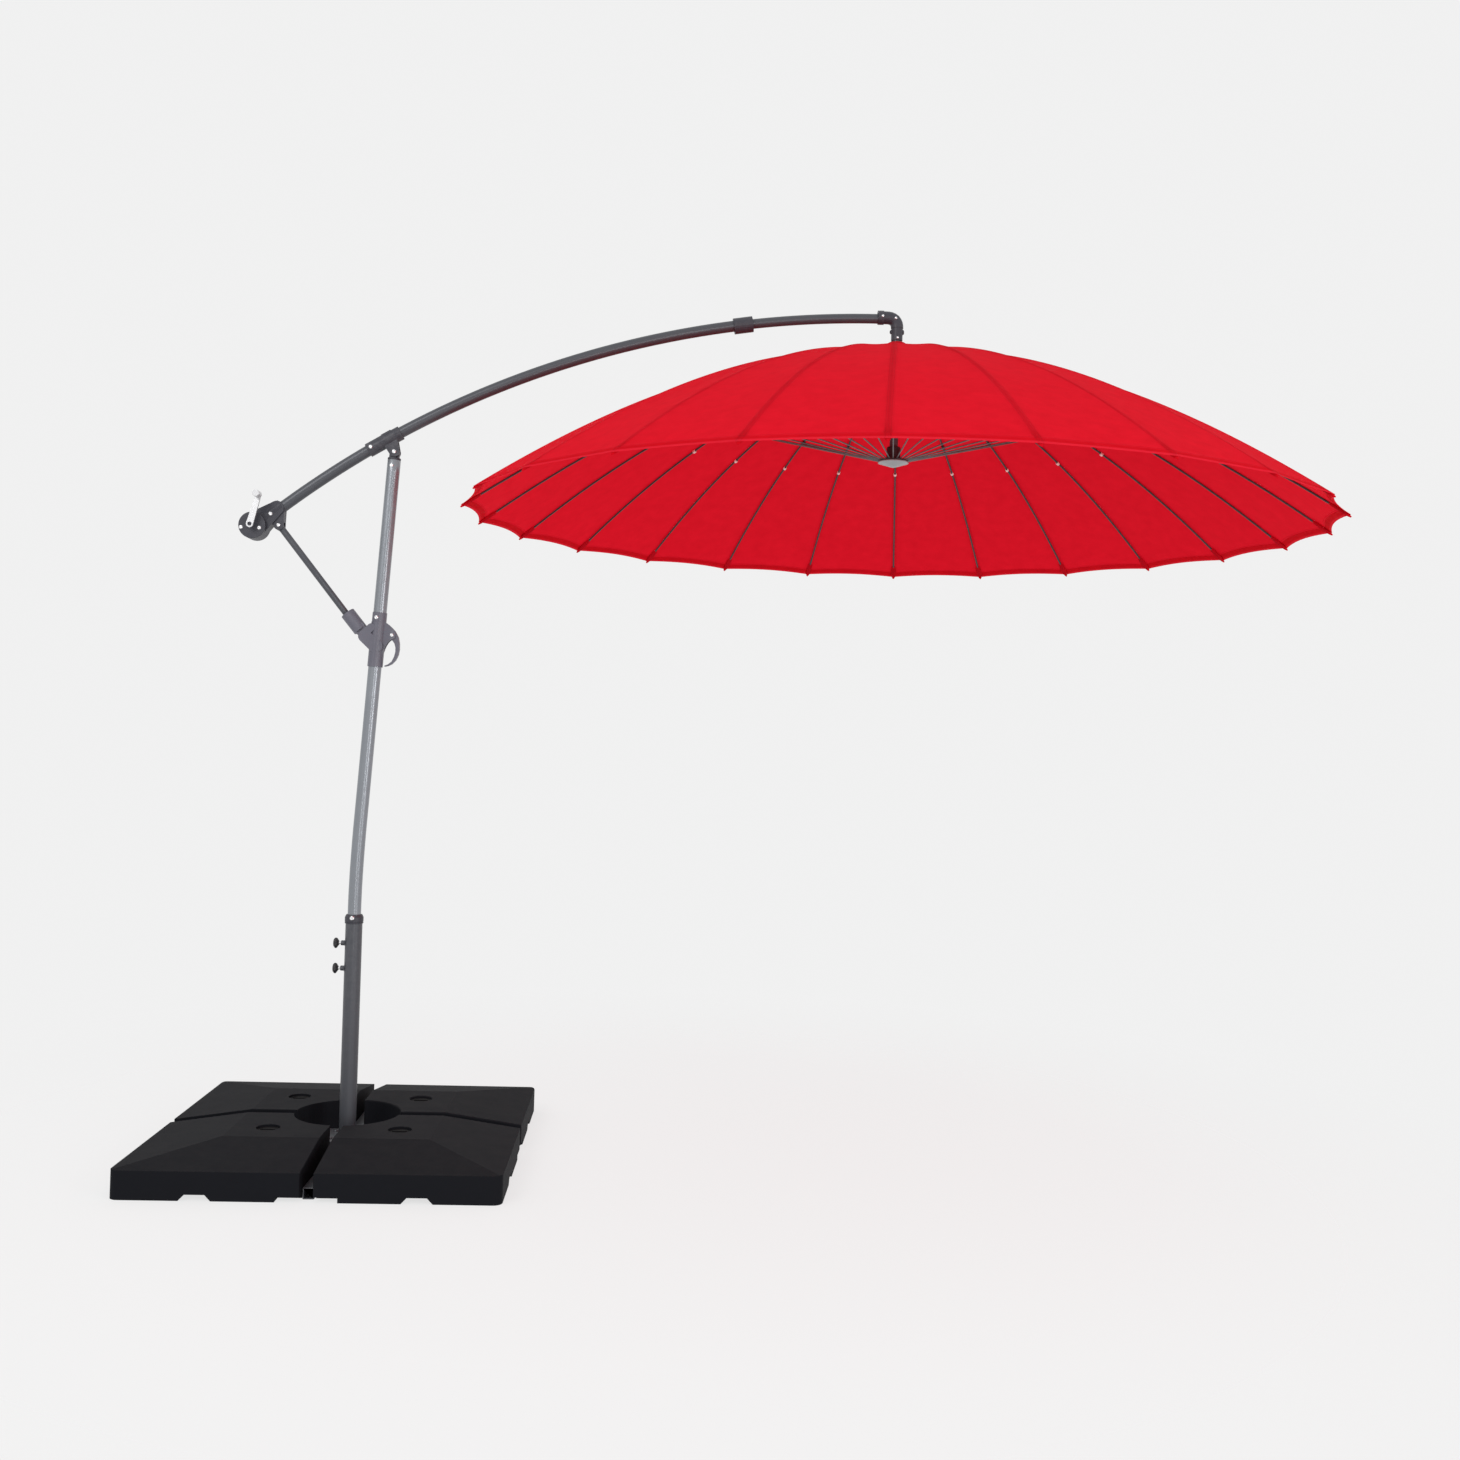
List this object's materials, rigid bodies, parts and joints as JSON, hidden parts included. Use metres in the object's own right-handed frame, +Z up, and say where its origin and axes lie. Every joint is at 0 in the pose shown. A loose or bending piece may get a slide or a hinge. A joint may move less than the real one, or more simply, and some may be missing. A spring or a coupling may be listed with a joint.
{
  "type": "cantilever patio umbrella",
  "caption": "Cantilever patio umbrella: round ribbed canopy hung from a curved arm on a leaning mast, with a slider strut, a crank and a cross base under square slabs.",
  "frame": {"origin": "on the ground under the centre of the cross base, on the mast axis", "axes": "+X from the mast towards the canopy along the arm, +Y to the back, +Z up"},
  "size_m": [3.2841, 2.4962, 2.5057],
  "materials": {
    "slab_shell": "matte black moulded shell",
    "frame_paint": "anthracite powder coat, soft sheen",
    "moulding": "dark grey moulded plastic",
    "cloth": "plain woven polyester, matte",
    "rib_wire": "thin grey coated wire",
    "steel": "zinc plated",
    "pale_grip": "pale grey moulded plastic"
  },
  "bodies": {
    "base": {"slab_back_right": "slab_shell", "slab_back_left": "slab_shell", "slab_front_left": "slab_shell", "slab_front_right": "slab_shell", "cross_beam": "frame_paint", "cross_leg_back": "frame_paint", "cross_leg_front": "frame_paint", "base_tube": "frame_paint", "tube_collar": "moulding"},
    "stem_upper": {"thumb_stem_upper": "steel"},
    "knob_upper": {"thumb_knob_upper": "moulding"},
    "stem_lower": {"thumb_stem_lower": "steel"},
    "knob_lower": {"thumb_knob_lower": "moulding"},
    "mast": {"mast_tube": "frame_paint", "mast_cap": "moulding", "tilt_pin": "steel"},
    "slider": {"slider_sleeve": "moulding"},
    "lever": {"slider_lever": "moulding"},
    "strut": {"strut_tube": "frame_paint", "strut_socket": "moulding"},
    "arm": {"arm_tube": "frame_paint", "arm_end_tube": "frame_paint", "arm_collar": "moulding", "tee_sleeve": "moulding", "elbow": "moulding", "crank_housing": "moulding", "crank_cover": "moulding", "pole": "frame_paint", "top_hub": "moulding", "canopy": "cloth", "canopy_cap": "cloth"},
    "crank": {"crank_handle": "steel", "cord_drum": "moulding"},
    "crank_grip": {"crank_knob": "pale_grip"},
    "runner": {"runner_hub": "moulding", "stretchers": "rib_wire"},
    "rib_00": {"rib_00": "rib_wire"},
    "rib_01": {"rib_01": "rib_wire"},
    "rib_02": {"rib_02": "rib_wire"},
    "rib_03": {"rib_03": "rib_wire"},
    "rib_04": {"rib_04": "rib_wire"},
    "rib_05": {"rib_05": "rib_wire"},
    "rib_06": {"rib_06": "rib_wire"},
    "rib_07": {"rib_07": "rib_wire"},
    "rib_08": {"rib_08": "rib_wire"},
    "rib_09": {"rib_09": "rib_wire"},
    "rib_10": {"rib_10": "rib_wire"},
    "rib_11": {"rib_11": "rib_wire"},
    "rib_12": {"rib_12": "rib_wire"},
    "rib_13": {"rib_13": "rib_wire"},
    "rib_14": {"rib_14": "rib_wire"},
    "rib_15": {"rib_15": "rib_wire"},
    "rib_16": {"rib_16": "rib_wire"},
    "rib_17": {"rib_17": "rib_wire"},
    "rib_18": {"rib_18": "rib_wire"},
    "rib_19": {"rib_19": "rib_wire"},
    "rib_20": {"rib_20": "rib_wire"},
    "rib_21": {"rib_21": "rib_wire"},
    "rib_22": {"rib_22": "rib_wire"},
    "rib_23": {"rib_23": "rib_wire"}
  },
  "joints": [
    {"name": "mast_swivel", "type": "hinge", "parent": "base", "child": "mast", "pos_m": [0, 0, 0.65], "axis": [0, 0, 1], "continuous": true},
    {"name": "arm_tilt", "type": "hinge", "parent": "mast", "child": "arm", "pos_m": [0.07374, 0, 2.029], "axis": [0, -1, 0], "range_deg": [-18, 3.5]},
    {"name": "slider_slide", "type": "slide", "parent": "mast", "child": "slider", "axis": [0.0599, 0, 0.9982], "range_m": [-0.036, 0.179]},
    {"name": "strut_swing", "type": "hinge", "parent": "arm", "child": "strut", "pos_m": [-0.251, 0, 1.803], "axis": [0, -1, 0], "range_deg": [-6.8, 32]},
    {"name": "lever_pull", "type": "hinge", "parent": "slider", "child": "lever", "pos_m": [0.0837, 0, 1.495], "axis": [0, -1, 0], "range_deg": [0, 24], "stiffness_Nm_per_rad": 0.6, "springref_deg": -8.59},
    {"name": "canopy_fold", "type": "slide", "parent": "arm", "child": "runner", "axis": [0, 0, -1], "range_m": [0, 0.85], "deforming": ["canopy", "stretchers"]},
    {"name": "rib_00_fold", "type": "hinge", "parent": "arm", "child": "rib_00", "pos_m": [1.57381, 0.00377, 2.364], "axis": [-0.0993, 0.9951, 0], "range_deg": [0, 64.5]},
    {"name": "rib_01_fold", "type": "hinge", "parent": "arm", "child": "rib_01", "pos_m": [1.57155, 0.01343, 2.364], "axis": [-0.3535, 0.9354, 0], "range_deg": [0, 64.5]},
    {"name": "rib_02_fold", "type": "hinge", "parent": "arm", "child": "rib_02", "pos_m": [1.56686, 0.02218, 2.364], "axis": [-0.5835, 0.8121, 0], "range_deg": [0, 64.5]},
    {"name": "rib_03_fold", "type": "hinge", "parent": "arm", "child": "rib_03", "pos_m": [1.56007, 0.02941, 2.364], "axis": [-0.7738, 0.6334, 0], "range_deg": [0, 64.5]},
    {"name": "rib_04_fold", "type": "hinge", "parent": "arm", "child": "rib_04", "pos_m": [1.55164, 0.03463, 2.364], "axis": [-0.9114, 0.4115, 0], "range_deg": [0, 64.5]},
    {"name": "rib_05_fold", "type": "hinge", "parent": "arm", "child": "rib_05", "pos_m": [1.54214, 0.0375, 2.364], "axis": [-0.9869, 0.1616, 0], "range_deg": [0, 64.5]},
    {"name": "rib_06_fold", "type": "hinge", "parent": "arm", "child": "rib_06", "pos_m": [1.53223, 0.03781, 2.364], "axis": [-0.9951, -0.0993, 0], "range_deg": [0, 64.5]},
    {"name": "rib_07_fold", "type": "hinge", "parent": "arm", "child": "rib_07", "pos_m": [1.52257, 0.03555, 2.364], "axis": [-0.9354, -0.3535, 0], "range_deg": [0, 64.5]},
    {"name": "rib_08_fold", "type": "hinge", "parent": "arm", "child": "rib_08", "pos_m": [1.51382, 0.03086, 2.364], "axis": [-0.8121, -0.5835, 0], "range_deg": [0, 64.5]},
    {"name": "rib_09_fold", "type": "hinge", "parent": "arm", "child": "rib_09", "pos_m": [1.50659, 0.02407, 2.364], "axis": [-0.6334, -0.7738, 0], "range_deg": [0, 64.5]},
    {"name": "rib_10_fold", "type": "hinge", "parent": "arm", "child": "rib_10", "pos_m": [1.50137, 0.01564, 2.364], "axis": [-0.4115, -0.9114, 0], "range_deg": [0, 64.5]},
    {"name": "rib_11_fold", "type": "hinge", "parent": "arm", "child": "rib_11", "pos_m": [1.4985, 0.00614, 2.364], "axis": [-0.1616, -0.9869, 0], "range_deg": [0, 64.5]},
    {"name": "rib_12_fold", "type": "hinge", "parent": "arm", "child": "rib_12", "pos_m": [1.49819, -0.00377, 2.364], "axis": [0.0993, -0.9951, 0], "range_deg": [0, 64.5]},
    {"name": "rib_13_fold", "type": "hinge", "parent": "arm", "child": "rib_13", "pos_m": [1.50045, -0.01343, 2.364], "axis": [0.3535, -0.9354, 0], "range_deg": [0, 64.5]},
    {"name": "rib_14_fold", "type": "hinge", "parent": "arm", "child": "rib_14", "pos_m": [1.50514, -0.02218, 2.364], "axis": [0.5835, -0.8121, 0], "range_deg": [0, 64.5]},
    {"name": "rib_15_fold", "type": "hinge", "parent": "arm", "child": "rib_15", "pos_m": [1.51193, -0.02941, 2.364], "axis": [0.7738, -0.6334, 0], "range_deg": [0, 64.5]},
    {"name": "rib_16_fold", "type": "hinge", "parent": "arm", "child": "rib_16", "pos_m": [1.52036, -0.03463, 2.364], "axis": [0.9114, -0.4115, 0], "range_deg": [0, 64.5]},
    {"name": "rib_17_fold", "type": "hinge", "parent": "arm", "child": "rib_17", "pos_m": [1.52986, -0.0375, 2.364], "axis": [0.9869, -0.1616, 0], "range_deg": [0, 64.5]},
    {"name": "rib_18_fold", "type": "hinge", "parent": "arm", "child": "rib_18", "pos_m": [1.53977, -0.03781, 2.364], "axis": [0.9951, 0.0993, 0], "range_deg": [0, 64.5]},
    {"name": "rib_19_fold", "type": "hinge", "parent": "arm", "child": "rib_19", "pos_m": [1.54943, -0.03555, 2.364], "axis": [0.9354, 0.3535, 0], "range_deg": [0, 64.5]},
    {"name": "rib_20_fold", "type": "hinge", "parent": "arm", "child": "rib_20", "pos_m": [1.55818, -0.03086, 2.364], "axis": [0.8121, 0.5835, 0], "range_deg": [0, 64.5]},
    {"name": "rib_21_fold", "type": "hinge", "parent": "arm", "child": "rib_21", "pos_m": [1.56541, -0.02407, 2.364], "axis": [0.6334, 0.7738, 0], "range_deg": [0, 64.5]},
    {"name": "rib_22_fold", "type": "hinge", "parent": "arm", "child": "rib_22", "pos_m": [1.57063, -0.01564, 2.364], "axis": [0.4115, 0.9114, 0], "range_deg": [0, 64.5]},
    {"name": "rib_23_fold", "type": "hinge", "parent": "arm", "child": "rib_23", "pos_m": [1.5735, -0.00614, 2.364], "axis": [0.1616, 0.9869, 0], "range_deg": [0, 64.5]},
    {"name": "crank_turn", "type": "hinge", "parent": "arm", "child": "crank", "pos_m": [-0.32242, 0, 1.79837], "axis": [0, 1, 0], "range_deg": [0, 2708]},
    {"name": "grip_spin", "type": "hinge", "parent": "crank", "child": "crank_grip", "pos_m": [-0.29942, -0.072, 1.88237], "axis": [0, 1, 0], "continuous": true},
    {"name": "stem_upper_slide", "type": "slide", "parent": "base", "child": "stem_upper", "axis": [-1, 0, 0], "range_m": [0, 0.0061]},
    {"name": "knob_upper_turn", "type": "hinge", "parent": "stem_upper", "child": "knob_upper", "pos_m": [-0.048, 0, 0.598], "axis": [-1, 0, 0], "range_deg": [0, 1440]},
    {"name": "stem_lower_slide", "type": "slide", "parent": "base", "child": "stem_lower", "axis": [-1, 0, 0], "range_m": [0, 0.0061]},
    {"name": "knob_lower_turn", "type": "hinge", "parent": "stem_lower", "child": "knob_lower", "pos_m": [-0.048, 0, 0.525], "axis": [-1, 0, 0], "range_deg": [0, 1440]}
  ],
  "couplings": [
    {"joint": "slider_slide", "follows": "arm_tilt", "m_per_rad": -0.564},
    {"joint": "strut_swing", "follows": "arm_tilt", "ratio": -1.76},
    {"joint": "rib_00_fold", "follows": "canopy_fold", "rad_per_m": 1.3141},
    {"joint": "rib_01_fold", "follows": "canopy_fold", "rad_per_m": 1.3141},
    {"joint": "rib_02_fold", "follows": "canopy_fold", "rad_per_m": 1.3141},
    {"joint": "rib_03_fold", "follows": "canopy_fold", "rad_per_m": 1.3141},
    {"joint": "rib_04_fold", "follows": "canopy_fold", "rad_per_m": 1.3141},
    {"joint": "rib_05_fold", "follows": "canopy_fold", "rad_per_m": 1.3141},
    {"joint": "rib_06_fold", "follows": "canopy_fold", "rad_per_m": 1.3141},
    {"joint": "rib_07_fold", "follows": "canopy_fold", "rad_per_m": 1.3141},
    {"joint": "rib_08_fold", "follows": "canopy_fold", "rad_per_m": 1.3141},
    {"joint": "rib_09_fold", "follows": "canopy_fold", "rad_per_m": 1.3141},
    {"joint": "rib_10_fold", "follows": "canopy_fold", "rad_per_m": 1.3141},
    {"joint": "rib_11_fold", "follows": "canopy_fold", "rad_per_m": 1.3141},
    {"joint": "rib_12_fold", "follows": "canopy_fold", "rad_per_m": 1.3141},
    {"joint": "rib_13_fold", "follows": "canopy_fold", "rad_per_m": 1.3141},
    {"joint": "rib_14_fold", "follows": "canopy_fold", "rad_per_m": 1.3141},
    {"joint": "rib_15_fold", "follows": "canopy_fold", "rad_per_m": 1.3141},
    {"joint": "rib_16_fold", "follows": "canopy_fold", "rad_per_m": 1.3141},
    {"joint": "rib_17_fold", "follows": "canopy_fold", "rad_per_m": 1.3141},
    {"joint": "rib_18_fold", "follows": "canopy_fold", "rad_per_m": 1.3141},
    {"joint": "rib_19_fold", "follows": "canopy_fold", "rad_per_m": 1.3141},
    {"joint": "rib_20_fold", "follows": "canopy_fold", "rad_per_m": 1.3141},
    {"joint": "rib_21_fold", "follows": "canopy_fold", "rad_per_m": 1.3141},
    {"joint": "rib_22_fold", "follows": "canopy_fold", "rad_per_m": 1.3141},
    {"joint": "rib_23_fold", "follows": "canopy_fold", "rad_per_m": 1.3141},
    {"joint": "crank_turn", "follows": "canopy_fold", "rad_per_m": 55.556},
    {"joint": "stem_upper_slide", "follows": "knob_upper_turn", "m_per_rad": 0.00023873},
    {"joint": "stem_lower_slide", "follows": "knob_lower_turn", "m_per_rad": 0.00023873}
  ]
}
